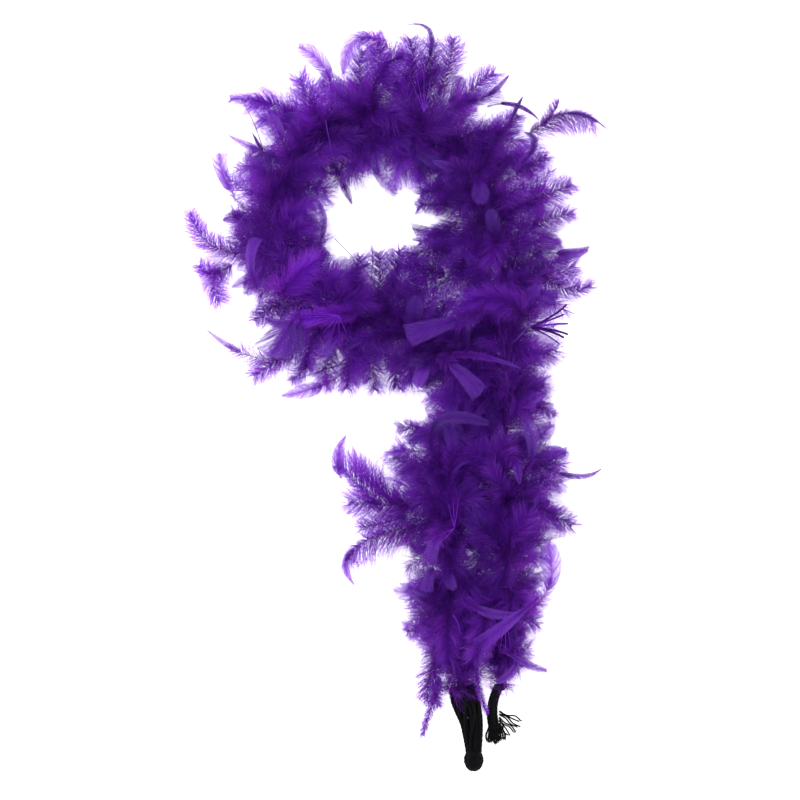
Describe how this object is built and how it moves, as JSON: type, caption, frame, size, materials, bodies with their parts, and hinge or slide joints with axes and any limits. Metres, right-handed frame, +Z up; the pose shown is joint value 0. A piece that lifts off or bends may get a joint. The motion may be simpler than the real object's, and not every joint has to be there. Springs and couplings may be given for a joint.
{
  "type": "feather boa",
  "caption": "Fluffy dyed feather boa on a twisted yarn cord, folded into a round loop with both strands lying side by side as a stem, one knotted end and one frayed end.",
  "frame": {"origin": "middle of the boa's outline on the table it lies on", "axes": "+X across the stem towards the cut end, +Y along the stem towards the loop, +Z up off the table"},
  "size_m": [0.5082, 0.8975, 0.0925],
  "materials": {
    "feather": "soft dyed feather, translucent tips",
    "yarn": "matte black twisted yarn",
    "thread": "fine black thread wound tight"
  },
  "bodies": {
    "stem": {"core_cord_left_stem": "yarn", "plume_05": "feather", "plume_06": "feather", "plume_07": "feather", "plume_08": "feather", "core_cord_right_stem": "yarn", "plume_33": "feather", "plume_34": "feather", "plume_35": "feather", "plume_36": "feather"},
    "loop": {"core_cord_loop": "yarn", "plume_09": "feather", "plume_10": "feather", "plume_11": "feather", "plume_12": "feather", "plume_13": "feather", "plume_14": "feather", "plume_15": "feather", "plume_16": "feather", "plume_17": "feather", "plume_18": "feather", "plume_19": "feather", "plume_20": "feather", "plume_21": "feather", "plume_22": "feather", "plume_23": "feather", "plume_24": "feather", "plume_25": "feather", "plume_26": "feather", "plume_27": "feather", "plume_28": "feather", "plume_29": "feather", "plume_30": "feather", "plume_31": "feather", "plume_32": "feather"},
    "left_tail": {"core_cord_left_tail": "yarn", "plume_01": "feather", "plume_02": "feather", "plume_03": "feather", "plume_04": "feather", "end_whipping_left_tail": "thread"},
    "right_tail": {"core_cord_right_tail": "yarn", "plume_37": "feather", "plume_38": "feather", "plume_39": "feather", "plume_40": "feather", "end_whipping_right_tail": "thread"},
    "looped_end": {"folded_yarn_bundle": "yarn", "end_knot": "yarn"},
    "cut_end": {"tassel_yarn_bundle": "yarn", "frayed_tip_1": "yarn", "frayed_tip_2": "yarn", "frayed_tip_3": "yarn", "frayed_tip_4": "yarn", "side_yarn_1": "yarn", "side_yarn_2": "yarn", "side_yarn_3": "yarn", "side_yarn_4": "yarn"}
  },
  "joints": [
    {"name": "loop_fold", "type": "hinge", "parent": "stem", "child": "loop", "pos_m": [0.104, -0.029, 0.034], "axis": [1, 0, 0], "range_deg": [0, 45]},
    {"name": "left_tail_fold", "type": "hinge", "parent": "stem", "child": "left_tail", "pos_m": [0.061, -0.197, 0.034], "axis": [-1, 0, 0], "range_deg": [0, 45]},
    {"name": "right_tail_fold", "type": "hinge", "parent": "stem", "child": "right_tail", "pos_m": [0.131, -0.197, 0.034], "axis": [-1, 0, 0], "range_deg": [0, 45]},
    {"name": "looped_end_swing", "type": "hinge", "parent": "left_tail", "child": "looped_end", "pos_m": [0.077, -0.355, 0.031], "axis": [0, 0, -1], "range_deg": [0, 20]},
    {"name": "cut_end_swing", "type": "hinge", "parent": "right_tail", "child": "cut_end", "pos_m": [0.121, -0.353, 0.03], "axis": [0, 0, 1], "range_deg": [0, 20]}
  ]
}
